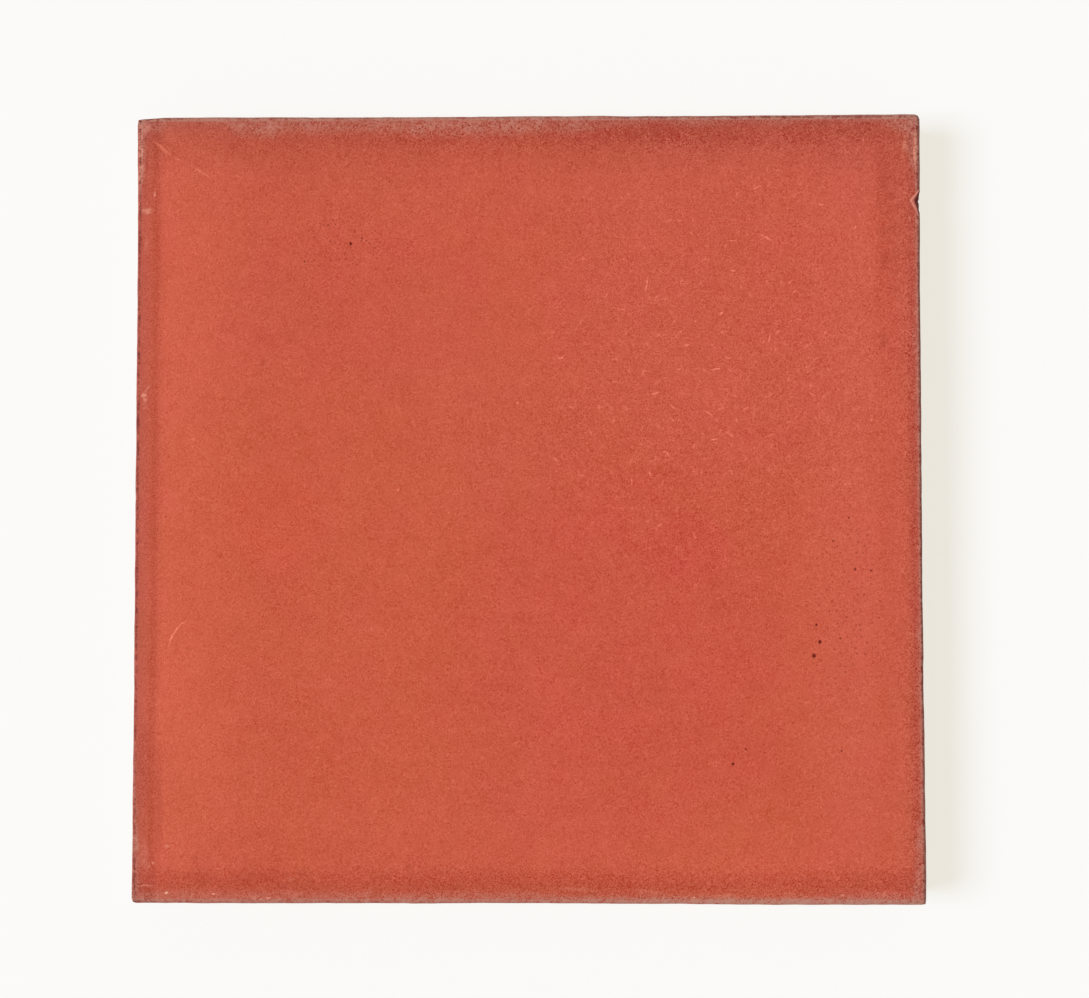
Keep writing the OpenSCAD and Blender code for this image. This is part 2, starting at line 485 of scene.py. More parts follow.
class Finish:
    """A material made of layers. Each method adds one shader node and returns its output."""

    def __init__(self, name):
        self.material = bpy.data.materials.new(name)
        self.material.use_nodes = True
        self.tree = self.material.node_tree
        self.tree.nodes.clear()

    def add(self, kind, *values, out=0, **settings):
        """A node of this kind. Values go to its sockets in order, and None leaves a socket as it is."""
        node = self.tree.nodes.new("ShaderNode" + kind)
        for name, setting in settings.items():
            setattr(node, name, setting)
        for socket, value in zip(node.inputs, values):
            self.feed(socket, value)
        return node.outputs[out]

    def feed(self, socket, value):
        """Links a socket to another node's output, or sets it to a constant."""
        if isinstance(value, bpy.types.NodeSocket):
            self.tree.links.new(value, socket)
        elif value is not None:
            socket.default_value = value

    def math(self, operation, *values):
        """One step of arithmetic, which the operation names."""
        return self.add("Math", *values, operation=operation)

    def chain(self, operation, values):
        """One operation on many values. Each is made just before it is taken in, so few are held at once."""
        values = iter(values)
        total = next(values)
        for value in values:
            total = self.math(operation, total, value)
        return total

    def plus(self, *values):
        """The sum of the values."""
        return self.chain("ADD", values)

    def times(self, *values):
        """The product of the values."""
        return self.chain("MULTIPLY", values)

    def most(self, *values):
        """The greatest of the values."""
        return self.chain("MAXIMUM", values)

    def least(self, values):
        """The least of the values, which are taken one by one."""
        return self.chain("MINIMUM", values)

    def dot(self, vector, numbers):
        """The sum of the three parts of a vector, each times its number."""
        return self.add("VectorMath", vector, numbers, out=1, operation="DOT_PRODUCT")

    def fade(self, value, start, end, low=0.0, high=1.0):
        """An s-curve from low to high as the value goes from start to end, level outside them."""
        curve = {"interpolation_type": "SMOOTHSTEP", "clamp": False}
        return self.add("MapRange", value, start, end, low, high, **curve)

    def spread(self, place, step, offset=(0, 0, 0)):
        """The place divided by a step along each axis and set off, which sizes and shifts a pattern."""
        step = (step,) * 3 if np.isscalar(step) else step
        scale = tuple(1 / length for length in step)
        return self.add("VectorMath", place, scale, offset, operation="MULTIPLY_ADD")

    def cloud(self, place, step, seed=0, detail=1.5):
        """Soft noise about 0, mostly within 1 each way, whose blots are about a step apart."""
        spot = self.spread(place, step, (17.3 * seed, 9.1 * seed, 5.7 * seed))
        noise = self.add("TexNoise", spot, None, 1.0, detail, 0.55)
        return self.math("MULTIPLY_ADD", noise, 4.0, -2.0)

    def blend(self, share, first, second, kind="MIX"):
        """Lays the second colour over the first by a share."""
        node = self.tree.nodes.new("ShaderNodeMix")
        node.data_type = "RGBA"
        node.blend_type = kind
        node.clamp_factor = kind == "MIX"
        self.feed(node.inputs[0], share)
        self.feed(node.inputs[6], first)
        self.feed(node.inputs[7], second)
        return node.outputs[2]

    def shift(self, colour, amount, step):
        """Adds a step of colour times an amount. Either may be below 0."""
        step = np.array(step)
        for kind, part in (("ADD", np.maximum(step, 0)), ("SUBTRACT", np.maximum(-step, 0))):
            if part.any():
                colour = self.blend(amount, colour, (*part, 1), kind)
        return colour

    def split(self, vector):
        """The three parts of a vector."""
        node = self.tree.nodes.new("ShaderNodeSeparateXYZ")
        self.feed(node.inputs[0], vector)
        return node.outputs

    def parts(self, colour):
        """The three parts of a colour."""
        node = self.tree.nodes.new("ShaderNodeSeparateColor")
        self.feed(node.inputs[0], colour)
        return node.outputs

    def ramp(self, value, stops):
        """A colour that changes straight from stop to stop (place from 0 to 1, colour)."""
        node = self.tree.nodes.new("ShaderNodeValToRGB")
        marks = node.color_ramp.elements
        while len(marks) < len(stops):
            marks.new(0.5)
        for mark, (place, colour) in zip(marks, stops):
            mark.position = place
            mark.color = colour
        self.feed(node.inputs[0], value)
        return node.outputs[0]

    def end(self, surface):
        """Sends a shader to the material's output."""
        out = self.tree.nodes.new("ShaderNodeOutputMaterial")
        self.tree.links.new(surface, out.inputs["Surface"])
        return self.material


def tone(red, green, blue):
    """A colour written from 0 to 255 as on a screen, turned to the light values that shaders work in."""
    share = np.array([red, green, blue]) / 255
    light = np.where(share <= 0.04045, share / 12.92, ((share + 0.055) / 1.055) ** 2.4)
    return (*light, 1.0)


# Colours of the cement
RED_CEMENT = tone(201, 91, 68)
CORE = np.array(RED_CEMENT[:3])
EDGE_DIRT = tone(120, 54, 46)
EDGE_RED = tone(164, 82, 68)
HAZE = tone(195, 132, 115)
TIDE = tone(160, 60, 46)
# Dark line along the face's edge: edge dirt and painted shade of the rounded edge
EDGE_LINE_DIRT_AND_SHADE = tone(106, 42, 38)
EDGE_PALE = tone(184, 132, 116)
# The chip's pale lip is fresh broken cement with a painted highlight, and its dark root is dirt and painted
# shade
CHIP_FRESH_AND_HIGHLIGHT = tone(236, 150, 133)
CHIP_SHADE_AND_DIRT = tone(122, 42, 36)
LIME = tone(234, 154, 131)
SPECK = tone(238, 176, 148)
SCRAPE = tone(226, 122, 98)
# Painted shade on the pits' floors and in the pores; the pores' colour also serves as the dirt of the dark
# smudges
PIT_SHADE = tone(96, 26, 24)
PORE_SHADE_AND_SMUDGE = tone(150, 54, 42)
GREY_MORTAR = tone(160, 151, 139)
PALE_SAND = tone(205, 197, 182)
DARK_SAND = tone(104, 96, 88)
MORTAR_RED = tone(176, 112, 92)
PALE_FLOOR = tone(251, 250, 248)

# One step of brightness on a screen, as it falls on the red cement's light values, in the grain and in the
# clouds, and the steps of its hue and of the mortar's brightness
GRAIN_STEP = (0.0065, 0.0028, 0.00205)
CLOUD_STEP = (0.0085, 0.0026, 0.0019)
HUE_STEP = (0.004, -0.0028, 0.0012)
MORTAR_STEP = (0.03, 0.028, 0.024)

# The face's faint sheen adds a little white, so the pigment is that much deeper
SHEEN_LOSS = (-0.0045, -0.0120, -0.0120)

# How the colour runs in from each side: distance from the edge and the colour there
BAND_REACH = 32
LEFT_BAND = ((0, (176, 88, 73)), (0.8, (186, 90, 73)), (3.4, (195, 91, 71)), (4.5, (190, 85, 63)),
             (5.2, (191, 85, 64)), (6.2, (202, 93, 71)), (7.5, (208, 96, 73)), (14, (206, 95, 71)),
             (32, (201, 91, 68)))
RIGHT_BAND = ((0, (172, 84, 70)), (1, (184, 88, 72)), (2.2, (184, 84, 67)), (4, (197, 93, 72)),
              (6, (201, 94, 73)), (10, (201, 92, 70)), (15, (203, 94, 73)), (32, (201, 91, 68)))
REAR_BAND = ((0, (170, 88, 74)), (1, (174, 86, 70)), (2, (177, 85, 68)), (4, (184, 86, 68)),
             (7, (188, 86, 66)), (10, (192, 88, 67)), (15, (198, 91, 69)), (32, (201, 91, 68)))
FRONT_BAND = ((0, (172, 90, 75)), (0.5, (176, 89, 72)), (1.4, (187, 89, 69)), (4, (189, 85, 63)),
              (6, (195, 87, 65)), (8, (200, 91, 68)), (12, (202, 92, 69)), (32, (201, 91, 68)))

# What the wear and the painted shade leave along each side: distance along it, then the shares of pale haze
# and dark tide, which are wear, and of the dark line, which is edge dirt and painted shade. The rear and front
# sides run from the left, the right and left sides run from the rear
REAR_WEAR_AND_SHADE = (
    (0, .8, 0, .8), (2, .75, 0, .7), (3, .6, .1, 1), (8.5, .4, .1, 1), (12, .3, .1, .6), (14, .3, .1, .2),
    (22, .35, .1, .35), (25, .7, .1, .35), (35, .75, .15, .35), (38, .6, .15, .4), (46, .65, .2, .8),
    (51, .65, .2, .9), (62, .6, .3, .55), (68, .65, .35, .3), (73, .75, .35, .3), (97, .75, .35, .3),
    (100, .7, .3, .35), (108, .65, .5, .4), (114, .65, .6, .4), (119, .5, .8, .5), (129, .35, .9, .9),
    (136, .28, .9, .95), (140, .42, .7, .5), (150, .38, .7, .8), (154, .28, .6, .95), (160, .38, .5, .95),
    (167, .38, .55, 1), (171, .25, .7, 1), (188, .3, .6, 1), (193, .5, .3, 1), (196, .7, .2, 1),
    (200, .8, 0, 1),
)
FRONT_WEAR_AND_SHADE = (
    (0, .7, .2, 1), (6, .5, .35, .7), (9, .35, .4, .35), (20, .35, .6, .3), (26, .42, .5, .3),
    (44, .45, .5, .3), (47, .5, .3, .3), (60, .52, .35, .25), (62, .62, .45, .25), (80, .62, .45, .2),
    (84, .45, .5, .2), (89, .55, .4, .2), (99, .5, .25, .15), (103, .55, .2, .1), (106, .8, .35, .1),
    (117, .8, .3, .1), (134, .8, .25, .1), (139, .95, .25, 0), (142, .9, .3, 0), (158, .9, .35, 0),
    (162, .95, .35, 0), (175, .95, .4, 0), (179, .75, .45, .1), (194, .7, .6, .2), (198, .75, .3, .8),
    (200, .75, .2, 1),
)
RIGHT_WEAR_AND_SHADE = (
    (0, .85, 0, 1), (9.5, .7, .4, .95), (13, .55, .55, .9), (17, .45, .6, .85), (20, .25, .65, .8),
    (25.5, .3, .65, .7), (27, .35, .55, .8), (31, .3, .6, .75), (36, .25, .5, .7), (44, .35, .4, .75),
    (49, .4, .3, .75), (55, .45, .3, .75), (58, .5, .4, .8), (64, .4, .3, .8), (69, .4, .1, .8),
    (75, .4, .05, .75), (105, .35, .1, .85), (127, .35, .1, .9), (130, .45, .15, .9), (134, .45, .1, .8),
    (137, .3, .1, .8), (146, .45, .1, .8), (149, .35, .05, .75), (178, .35, 0, .7), (183, .6, 0, .75),
    (194, .65, 0, .9), (196, .8, 0, 1), (200, .85, 0, 1),
)
LEFT_WEAR_AND_SHADE = (
    (0, .95, 0, .9), (5, 1, 0, .9), (9, 1, .1, .9), (16, .9, .35, .9), (20, .4, .3, .85), (30, .1, 0, 1),
    (38, .1, 0, 1), (42, .1, .2, 1), (70, .15, .2, 1), (74, .15, 0, 1), (80, .15, 0, 1), (86, .3, 0, 1),
    (100, .25, 0, 1), (104, .1, 0, 1), (152, .15, 0, .9), (156, .3, .4, .85), (173, .5, .4, .8),
    (178, .7, 0, .6), (186, 1, 0, .7), (195, 1, 0, .9), (200, .9, 0, 1),
)

# How far in the wear and the painted shade reach from each side: the faintest and the full haze, the middle
# and the half width of the tide, and the width of the dark line of edge dirt and painted shade
REAR_REACH = (0.2, 6.8), (4.3, 3.1), 0.85
FRONT_REACH = (4.2, 1.6), (6.2, 2.4), 0.8
RIGHT_REACH = (0.2, 4.4), (8.0, 3.2), 1.02
LEFT_REACH = (0.2, 1.9), (3.0, 1.5), 1.2

# Ovals of the face, each by its middle and its half widths: where it is brushed, where it is busy with
# flecks of lime, and where it is pored
BRUSHED = (-10, -46), (50, 24)
BUSY = (48, 36), (52, 62)
PORED = ((81, -25), (12, 28)), ((-48, 67), (13, 8))

# The least and the greatest depth of the red layer under the face
RED_LAYER = (3.4, 4.3)

# Broad soft patches of the face: middle, half width across and along, and the three light values' change in
# shares of the red cement's
PATCHES = (
    ((56, 58), (52, 52), (0.01, 0.03, 0.11)),
    ((-52, -28), (48, 72), (0.00, 0.00, -0.05)),
    ((22, -36), (44, 54), (-0.01, -0.07, -0.02)),
    ((40, -11), (11, 9), (0.01, -0.07, 0.03)),
    ((-64, -4), (13, 13), (0.02, -0.02, -0.03)),
    ((-15, 19), (34, 22), (-0.01, 0.02, 0.02)),
    ((-88, -60), (9, 36), (0.02, 0.04, 0.02)),
    ((-42, 52), (40, 22), (-0.01, -0.03, 0.01)),
    ((78, -30), (14, 50), (0.02, 0.05, 0.06)),
    ((-92, -84), (12, 30), (-0.05, -0.06, -0.08)),
    ((-60, -88), (26, 7), (-0.03, -0.04, -0.05)),
    ((60, -94), (24, 6), (0.03, 0.04, 0.05)),
)

# Marks on the face: middle, angle in degrees, half length, half width, bend and faintness. A bend of 1 lifts
# both ends of a mark by its half width, and a faintness of 0 is a full mark
PALE_HAIRS = (
    (8.4, 37.7, 0, 1.3, 0.29, 3, 0.3), (-2.7, 26.3, 0, 0.6, 0.5, 0, 0.4),
    (7.0, 11.9, -50, 0.8, 0.3, 0, 0.4), (31.0, 8.3, -60, 1.0, 0.38, 0, 0.4),
    (32.5, 28.7, 8, 1.4, 0.23, 0, 0.3), (38.5, 34.9, 0, 1.0, 0.3, 0, 0.4),
    (40.4, 41.1, 25, 1.0, 0.3, 0, 0.3), (47.9, 34.9, 5, 1.6, 0.25, -1, 0.2),
    (52.3, 60.0, 0, 0.8, 0.3, 0, 0.3), (52.3, 67.5, 0, 1.2, 0.25, 2, 0.3),
    (61.0, 68.4, -35, 2.6, 0.2, -3, 0.3), (58.5, 81.5, 20, 2.4, 0.22, -2, 0.4),
    (61.6, 42.7, 80, 1.6, 0.25, 1, 0.2), (49.1, 49.0, 20, 0.8, 0.2, 2, 0.2),
    (30.4, 56.5, 78, 2.2, 0.25, 2, 0.3), (35.4, 13.4, -40, 1.6, 0.25, -3, 0.4),
    (33.5, -4.8, 25, 1.2, 0.22, 0, 0.4), (45.9, 23.6, -30, 2.4, 0.22, -1, 0.4),
    (47.2, 17.0, 10, 0.9, 0.3, 0, 0.3), (13.8, 7.8, -20, 0.7, 0.3, 0, 0.3),
    (67.8, 54.5, 40, 0.9, 0.28, 0, 0.3), (-20.2, -1.6, -55, 1.8, 0.2, 0, 0.6),
    (-39.6, -31.0, 0, 0.5, 0.4, 0, 0.6), (75.0, 77.0, 0, 1.2, 0.3, 2, 0.4),
    (83.5, 71.0, 65, 0.9, 0.3, 0, 0.4), (26.5, 6.2, 80, 1.4, 0.22, 4, 0.4),
    (-33.1, 4.0, 0, 1.0, 0.8, 0, 0.8), (-89.6, -31.9, 59, 5.2, 0.30, -5, 0.3),
    (-85.2, 17.1, 0, 1.4, 1.1, 0, 0.85),
)
SCRATCH = (
    (-93.7, 91.9, -40, 3.1, 0.55, 0, 0.15), (-89.8, 89.1, -20, 1.3, 0.35, 0, 0.4),
    (-83.7, 85.8, -32, 4.2, 0.32, 0, 0.25),
)
PALE_STAINS = (
    (-97.6, 75.8, 0, 2.3, 1.1, 0, 0.35), (-97.8, 67.5, 90, 4.5, 0.8, 0, 0.8),
    (-97.7, 27.2, 90, 3.6, 1.2, 0, 0.8), (-97.1, 30.2, 59, 1.7, 0.5, 0, 0.5),
    (-98.0, 28.5, 10, 1.0, 0.55, 0, 0.05), (-97.6, 27.2, -20, 0.8, 0.6, 0, 0.4),
    (-97.7, 25.2, 0, 1.0, 0.45, 0, 0.6), (-95.7, 80.2, 90, 1.1, 0.3, 0, 0.3),
    (-99.3, 90.5, 90, 9.0, 0.6, 0, 0), (-96.8, -88.0, 90, 8.0, 2.2, 0, 0.85),
    (-96.5, -95.7, 4, 2.8, 0.25, 0, 0.3), (-28.8, 99.5, -8, 1.9, 0.35, 0, 0.2),
    (-95.7, -90.8, 0, 0.8, 0.6, 0, 0.5), (-94.5, -90.0, 0, 0.7, 0.6, 0, 0.5),
    (-91.0, -85.8, 0, 0.9, 0.7, 0, 0.5), (-84.5, -97.8, 0, 0.3, 0.25, 0, 0.4),
    (-79.1, -97.6, 0, 0.7, 0.4, 0, 0.3), (-69.0, -98.8, 0, 0.8, 0.5, 0, 0.2),
    (-65.5, -98.8, 0, 0.7, 0.5, 0, 0.2), (99.1, 91.5, 89, 6.5, 0.6, 0, 0),
    (96.4, 92.6, 78, 3.6, 1.3, 0, 0.6), (97.4, 73.0, 88, 1.4, 0.9, 0, 0.7),
    (-97.6, 97.2, 45, 2.6, 1.4, 0, 0.75), (98.0, -94.0, 88, 3.6, 0.8, 0, 0.7),
    (12.0, -96.4, -4, 10, 1.1, 0, 0.85), (30.0, -97.0, -5, 9, 1.0, 0, 0.85),
    (49.0, -98.0, 0, 7, 1.1, 0, 0.85), (66.0, -97.6, 0, 6, 0.9, 0, 0.85), (88.0, -97.5, 0, 7, 1.3, 0, 0.85),
    (-60.0, -94.0, 0, 2.4, 0.8, 0, 0.75), (79.0, -97.9, 0, 0.7, 0.4, 0, 0.3),
)
DARK_SMUDGES = (
    (-67.4, 36.9, 30, 1.3, 0.45, 0, 0), (91.0, 62.5, 85, 4.5, 1.5, 0, 0.5),
    (90.2, 42.0, 90, 3.6, 1.4, 0, 0.5), (-30.0, -91.0, 0, 1.6, 1.0, 0, 0.4),
    (-86.0, -36.0, 0, 0.8, 0.8, 0, 0.4), (-84.0, -89.0, 0, 1.2, 1.2, 0, 0.4),
    (-97.7, 88.5, 88, 4.0, 0.5, 0, 0.2), (-93.1, -76.0, 90, 24, 1.5, 0, 0.6),
)
BRIGHT_SPECKS = (
    (-91.2, -97.3, 20, 0.6, 0.45, 0, 0), (-79.1, -97.5, 0, 0.4, 0.3, 0, 0.6),
    (-67.4, -98.8, 0, 0.5, 0.3, 0, 0.5), (-65.3, -98.9, 0, 0.4, 0.3, 0, 0.6),
    (-95.6, -90.0, 70, 0.5, 0.3, 0, 0.7), (41.9, -98.6, 0, 0.5, 0.35, 0, 0.4),
)


def square_off(f, spot, mark):
    """How far a place lies from a short bent line, as a square in half lengths and half widths.

    The spot is (across, along, 1), so a dot product with three numbers turns, sizes and shifts it at once.
    The bend times the square of the part along the line is taken from the part off it, and faintness is
    added."""
    x, y, angle, half_length, half_width, bend, faint = mark
    cos_turn, sin_turn = np.cos(radians(angle)), np.sin(radians(angle))
    on = (cos_turn / half_length, sin_turn / half_length)
    off = (-sin_turn / half_width, cos_turn / half_width)
    along = f.dot(spot, (*on, -x * on[0] - y * on[1]))
    across = f.dot(spot, (*off, -x * off[0] - y * off[1]))
    square = f.math("MULTIPLY_ADD", along, along, faint)
    if bend:
        across = f.math("MULTIPLY_ADD", f.times(along, along), -float(bend), across)
    return f.math("MULTIPLY_ADD", across, across, square)


def marked(f, spot, marks):
    """A share of 1 on the nearest of many marks, less on faint ones and 0 off them."""
    nearest = f.least(square_off(f, spot, mark) for mark in marks)
    return f.fade(nearest, 1.3, 0.1)


def random_hairs(f, level, step, thin, seed, presence):
    """Short bent hairs at random, one or none to a cell: each lies at its own angle about its cell's point.

    A hair is where the square in half lengths and half widths is under 1, as in square_off."""
    spot = f.spread(level, step, (seed, 2.7 * seed, 0))
    cell = f.tree.nodes.new("ShaderNodeTexVoronoi")
    cell.voronoi_dimensions = "2D"
    f.feed(cell.inputs["Vector"], spot)
    cell.inputs["Scale"].default_value = 1.0
    chance = f.parts(cell.outputs["Color"])
    off = f.add("VectorMath", spot, cell.outputs["Position"], operation="SUBTRACT")
    turned = f.add("VectorRotate", off, None, None, f.times(chance[0], 6.28), rotation_type="Z_AXIS")
    x, y = f.split(turned)[:2]
    long = f.math("MULTIPLY_ADD", chance[2], 0.26, 0.08)
    u = f.math("DIVIDE", x, long)
    v = f.math("DIVIDE", y, thin)
    square = f.times(u, u)
    bent = f.math("MULTIPLY_ADD", square, f.math("MULTIPLY_ADD", chance[0], 3.0, -1.5), v)
    shape = f.fade(f.math("MULTIPLY_ADD", bent, bent, square), 1.3, 0.1)
    there = f.fade(chance[1], presence, 0.4 * presence)
    return f.times(shape, there)


def random_pores(f, level, step, radius, seed, presence):
    """Small round pores at random, one or none to a cell, each of its own radius, which is in cells."""
    cell = f.tree.nodes.new("ShaderNodeTexVoronoi")
    cell.voronoi_dimensions = "2D"
    f.feed(cell.inputs["Vector"], f.spread(level, step, (seed, 1.9 * seed, 0)))
    cell.inputs["Scale"].default_value = 1.0
    chance = f.parts(cell.outputs["Color"])
    size = f.math("MULTIPLY_ADD", chance[2], radius, 0.5 * radius)
    hole = f.fade(f.math("DIVIDE", cell.outputs["Distance"], size), 1.15, 0.6)
    return f.times(hole, f.math("LESS_THAN", chance[1], presence))


def side_wear_and_shade(f, along, away, ragged, wear, reach):
    """The shares of pale haze, dark tide and the dark line of edge dirt and painted shade along one side.

    Along the side the shares come from its list of wear and painted shade. Haze starts at the edge and reaches
    in by a length between that of the faintest and that of the full haze. A tide lies about its own distance
    in. Both have ragged bounds, and the line of edge dirt and painted shade runs close to the edge."""
    (faint_in, full_in), (tide_in, tide_half), line_wide = reach
    stops = [(at / (2 * HALF), (*shares, 1)) for at, *shares in wear]
    haze, tide, line = f.parts(f.ramp(along, stops))
    off_edge = f.math("MULTIPLY_ADD", ragged, f.fade(away, 0, 4, 0.4, 1.6), away)
    depth = f.math("DIVIDE", off_edge, f.math("MULTIPLY_ADD", haze, full_in - faint_in, faint_in))
    haze = f.times(haze, f.fade(depth, 1.25, 0.6), f.fade(depth, -0.1, 0.5, 0.4, 1.0))
    off = f.math("MULTIPLY_ADD", f.plus(off_edge, ragged), 1 / tide_half, -tide_in / tide_half)
    tide = f.times(tide, f.fade(f.times(off, off), 2.0, 0.0))
    # The dark line close to the edge is edge dirt and painted shade of the rounded edge
    line = f.times(line, f.fade(f.math("MULTIPLY_ADD", ragged, 0.25, away), line_wide, 0.45 * line_wide))
    line = f.times(line, f.fade(away, 0.05, 0.6, 0.25, 1.0))
    return haze, tide, line


def chip_bite(f, y):
    """How far the chip bites into the face at a place along the right side, below 0 beyond its flanks."""
    to_rear = f.math("MULTIPLY_ADD", y, 1 / CHIP_TO_REAR, -CHIP_Y / CHIP_TO_REAR)
    to_front = f.math("MULTIPLY_ADD", y, -1 / CHIP_TO_FRONT, CHIP_Y / CHIP_TO_FRONT)
    return f.math("MULTIPLY_ADD", f.most(to_rear, to_front), -CHIP_BITE, CHIP_BITE)


class Ground:
    """What the layers of the tile's finish share, made once. Its lengths are in millimetres.

    It holds a point's place, its distances from the face's edges and down from the face, and noise of six
    sizes, from broad clouds to the grain. Small marks lie on a spot that is pushed about by less than a
    millimetre, so none has a clean outline."""

    def __init__(self, f):
        self.f = f
        self.place = f.add("VectorMath", f.add("TexCoord", out=3), (1 / MM,) * 3, operation="MULTIPLY")
        self.x, self.y, height = f.split(self.place)
        self.level = f.add("VectorMath", self.place, (1, 1, 0), operation="MULTIPLY")
        self.spot = f.add("VectorMath", self.level, (0, 0, 1), operation="ADD")
        self.from_left = f.plus(self.x, HALF)
        self.from_right = f.math("SUBTRACT", HALF, self.x)
        self.from_front = f.plus(self.y, HALF)
        self.from_rear = f.math("SUBTRACT", HALF, self.y)
        self.from_edge = f.least((self.from_left, self.from_right, self.from_front, self.from_rear))
        self.below_face = f.math("SUBTRACT", THICK, height)
        self.broad = f.cloud(self.place, 24, 1)
        self.middling = f.cloud(self.place, 7, 2)
        self.mottle = f.cloud(self.place, 3.4, 9)
        self.small = f.cloud(self.place, 1.6, 3)
        self.speckle = f.cloud(self.place, 0.75, 4)
        self.grain = f.cloud(self.place, 0.34, 5, 0.5)
        self.waver = f.math("MULTIPLY_ADD", self.middling, 0.35, f.times(self.broad, 0.7))
        self.push_x = f.cloud(self.place, 2.1, 12, 2.5)
        self.push_y = f.cloud(self.place, 2.1, 13, 2.5)
        self.push = f.add("CombineXYZ", f.times(self.push_x, 0.32), f.times(self.push_y, 0.32), 0.0)
        self.pushed = f.add("VectorMath", self.spot, self.push, operation="ADD")

    def total(self, *values, **shares):
        """The sum of some values and of the noises named, each noise times its share."""
        noises = [self.f.times(getattr(self, name), share) for name, share in shares.items()]
        return self.f.plus(*values, *noises)

    def oval(self, middle, reach, inner=0.3):
        """A share of 1 in the middle of a wavering oval of the face and 0 outside it."""
        square = square_off(self.f, self.spot, (*middle, 0, *reach, 0, 0))
        return self.f.fade(self.f.math("MULTIPLY_ADD", self.waver, 0.22, square), 1.35, inner)


def pigment(f, here):
    """The plain red times the colours of the four bands, which stray in and out, and its broad patches."""
    stray = here.total(waver=0.6, small=0.25)
    bands = (
        (here.from_left, LEFT_BAND), (here.from_right, RIGHT_BAND),
        (here.from_rear, REAR_BAND), (here.from_front, FRONT_BAND),
    )
    colour = RED_CEMENT
    for away, band in bands:
        moved = f.math("MULTIPLY_ADD", stray, f.fade(away, 2, 14, 0.15, 1.0), away)
        stops = [(at / BAND_REACH, (*(np.array(tone(*shade)[:3]) / CORE), 1)) for at, shade in band]
        colour = f.blend(1.0, colour, f.ramp(f.math("DIVIDE", moved, BAND_REACH), stops), "MULTIPLY")
    for middle, reach, change in PATCHES:
        colour = f.shift(colour, here.oval(middle, reach), np.array(change) * CORE)
    return colour


def edge_wear_and_shade(f, here):
    """The shares of pale haze and dark tide that the wear leaves along the four sides, and of the dark line of
    edge dirt and painted shade.
    """
    ragged = here.total(push_x=0.55, small=0.4, speckle=0.2)
    run_x = f.math("MULTIPLY_ADD", f.math("MULTIPLY_ADD", here.push_y, 1.2, here.x), 0.5 / HALF, 0.5)
    run_y = f.math("MULTIPLY_ADD", f.math("MULTIPLY_ADD", here.push_y, -1.2, here.y), -0.5 / HALF, 0.5)
    rear = side_wear_and_shade(f, run_x, here.from_rear, ragged, REAR_WEAR_AND_SHADE, REAR_REACH)
    front = side_wear_and_shade(f, run_x, here.from_front, ragged, FRONT_WEAR_AND_SHADE, FRONT_REACH)
    right = side_wear_and_shade(f, run_y, here.from_right, ragged, RIGHT_WEAR_AND_SHADE, RIGHT_REACH)
    left = side_wear_and_shade(f, run_y, here.from_left, ragged, LEFT_WEAR_AND_SHADE, LEFT_REACH)
    haze, tide, line = (f.most(*shares) for shares in zip(rear, front, right, left))
    blotches = here.total(mottle=0.8, middling=0.5, small=0.3)
    return f.times(haze, f.fade(blotches, -1.3, 1.3, 0.5, 1.25)), tide, line


def lime_flecks(f, here, busy):
    """Threads and hairs of lime at random, dense where the face is busy, and the hairs that have a place."""
    thread = f.fade(f.math("ABSOLUTE", f.cloud(here.level, 2.9, 15, 2.0)), 0.12, 0.0)
    thread = f.times(thread, f.fade(here.total(here.mottle, middling=0.7), 0.3, 1.4), 0.6)
    hairs = random_hairs(f, f.add("VectorMath", here.level, here.push, operation="ADD"), 3.2, 0.10, 3.1, 0.4)
    flecks = f.times(f.most(thread, f.times(hairs, 0.9)), f.plus(busy, 0.1), 19.0)
    placed = f.times(marked(f, here.pushed, PALE_HAIRS), 50.0)
    return f.times(f.most(flecks, placed), f.fade(here.grain, -1.2, 0.4, 0.5, 1.0))


def unevenness(f, here, colour, haze, tide):
    """Adds the clouds, the grain and the flecks. The grain is stronger in patches and at the worn edges."""
    near_long = f.fade(f.math("MINIMUM", here.from_front, here.from_rear), 13, 5)
    near_long = f.times(near_long, f.fade(here.x, -60, -20, 0.1, 0.5))
    near_edge = f.most(near_long, f.fade(here.from_right, 8, 2, 0.0, 0.6))
    brushed = f.times(f.cloud(here.place, (26, 0.7, 5), 6), here.oval(*BRUSHED), 1.3)
    busy = here.oval(*BUSY, 0.1)
    wisps = f.times(f.fade(here.total(here.mottle, push_x=0.8), 0.3, 1.6), f.plus(busy, 0.12))
    clouds = f.plus(here.total(broad=1.1, middling=1.5, mottle=1.9), brushed)
    colour = f.shift(colour, clouds, CLOUD_STEP)
    fine = f.math("MULTIPLY_ADD", here.grain, 11.5, here.total(small=1.5, speckle=2.1))
    strength = f.plus(f.times(f.cloud(here.place, 2.6, 14), 0.5), near_edge, f.times(busy, 0.3), 0.9)
    strength = f.plus(strength, f.times(haze, 1.5), f.times(tide, 0.7), f.times(wisps, 0.7))
    flecks = lime_flecks(f, here, busy)
    uneven = f.plus(f.times(fine, strength), f.times(wisps, 2.5), f.times(haze, -4.0), flecks)
    colour = f.shift(colour, uneven, GRAIN_STEP)
    return f.shift(colour, f.cloud(here.place, 11, 7), HUE_STEP)


def dark_tides(f, here, colour, tide):
    """Lays tides of darker red over the colour, broken up by noise."""
    broken = here.total(here.mottle, here.small, push_x=0.6)
    return f.blend(f.times(tide, f.fade(broken, -1.8, 1.8, 0.0, 1.0), 0.8), colour, TIDE)


def pale_haze(f, here, colour, haze, flecked):
    """Lays the pale haze and the stains of lime over the colour, both flecked."""
    colour = f.blend(f.times(haze, f.fade(flecked, -2.6, 2.6, 0.15, 1.0)), colour, HAZE)
    stains = f.times(marked(f, here.pushed, PALE_STAINS), f.fade(flecked, -2.2, 2.0, 0.25, 0.85))
    return f.blend(stains, colour, LIME)


